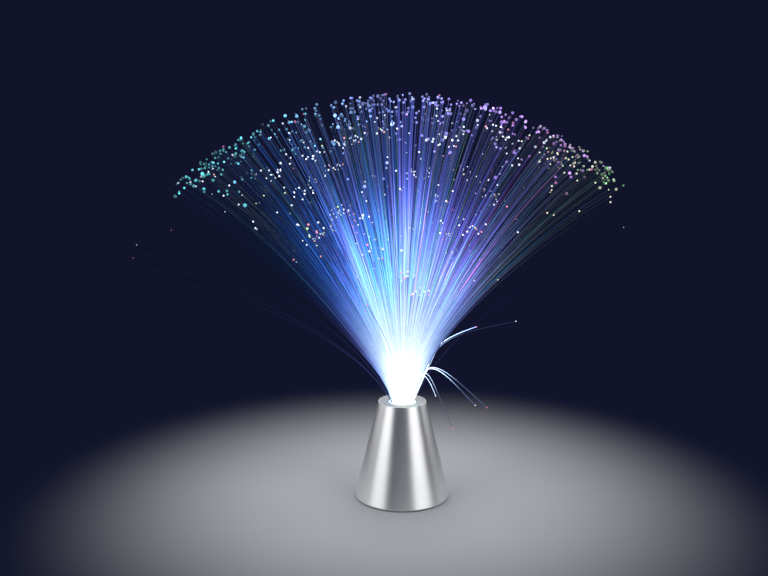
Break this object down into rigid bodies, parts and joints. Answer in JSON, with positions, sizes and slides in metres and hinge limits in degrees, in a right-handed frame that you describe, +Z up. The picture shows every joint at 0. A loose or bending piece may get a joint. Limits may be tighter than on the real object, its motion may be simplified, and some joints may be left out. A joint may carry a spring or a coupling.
{
  "type": "fiber optic lamp",
  "caption": "Battery fibre optic lamp: a satin aluminium cone with a flat collar, and a spray of clear fibres that stands in it and is lit from below.",
  "frame": {"origin": "centre of the footprint, on the table surface under the rubber feet", "axes": "+Z up along the cone's axis, front is -Y, the switch is on the +X side of the underside"},
  "size_m": [0.4004, 0.3495, 0.3314],
  "materials": {
    "satin_aluminium": "fine-brushed and clear-coated satin",
    "turned_aluminium": "matt turned",
    "clear_acrylic": "clear, moulded",
    "optical_fibre": "clear drawn acrylic, lit from its lower end",
    "white_plastic": "moulded white",
    "circuit_board": "green solder mask",
    "red_lens": "diffused red epoxy",
    "green_lens": "diffused green epoxy",
    "blue_lens": "diffused blue epoxy",
    "black_resin": "moulded black resin",
    "zinc_screw": "zinc plated",
    "base_plastic": "moulded black, fine spark texture",
    "cell_sleeve": "printed-free coloured sleeve over steel",
    "plated_spring_steel": "nickel plated",
    "switch_case": "tinned steel case",
    "switch_knob": "moulded black",
    "foot_rubber": "moulded matt",
    "red_wire": "soft insulation",
    "orange_wire": "soft insulation",
    "black_wire": "soft insulation"
  },
  "bodies": {
    "base": {"cone_shell": "satin_aluminium", "collar_bush": "turned_aluminium", "lock_ring": "turned_aluminium", "light_cup": "white_plastic", "led_board": "circuit_board", "led_red": "red_lens", "led_green": "green_lens", "led_blue": "blue_lens", "resistors": "black_resin", "controller_chip": "black_resin", "cup_screws": "zinc_screw", "chassis_column": "white_plastic", "column_screws": "zinc_screw", "base_plate": "base_plastic", "battery_left": "cell_sleeve", "battery_centre": "cell_sleeve", "battery_right": "cell_sleeve", "contact_positive": "plated_spring_steel", "contact_link_front": "plated_spring_steel", "contact_link_back": "plated_spring_steel", "contact_negative": "plated_spring_steel", "switch_body": "switch_case", "switch_screws": "zinc_screw", "foot_1": "foot_rubber", "foot_2": "foot_rubber", "foot_3": "foot_rubber", "foot_4": "foot_rubber", "wire_positive": "red_wire", "wire_switched": "orange_wire", "wire_negative": "black_wire"},
    "fibre_wand": {"ferrule": "clear_acrylic", "fibre_spray": "optical_fibre"},
    "switch": {"switch_slider": "switch_knob"},
    "door": {"battery_door": "base_plastic", "door_screws": "zinc_screw"}
  },
  "joints": [
    {"name": "wand_lift", "type": "slide", "parent": "base", "child": "fibre_wand", "axis": [0, 0, 1], "range_m": [0, 0.03]},
    {"name": "switch_slide", "type": "slide", "parent": "base", "child": "switch", "axis": [0, 1, 0], "range_m": [-0.003, 0]},
    {"name": "door_off", "type": "slide", "parent": "base", "child": "door", "axis": [0, 0, -1], "range_m": [0, 0.025]}
  ]
}
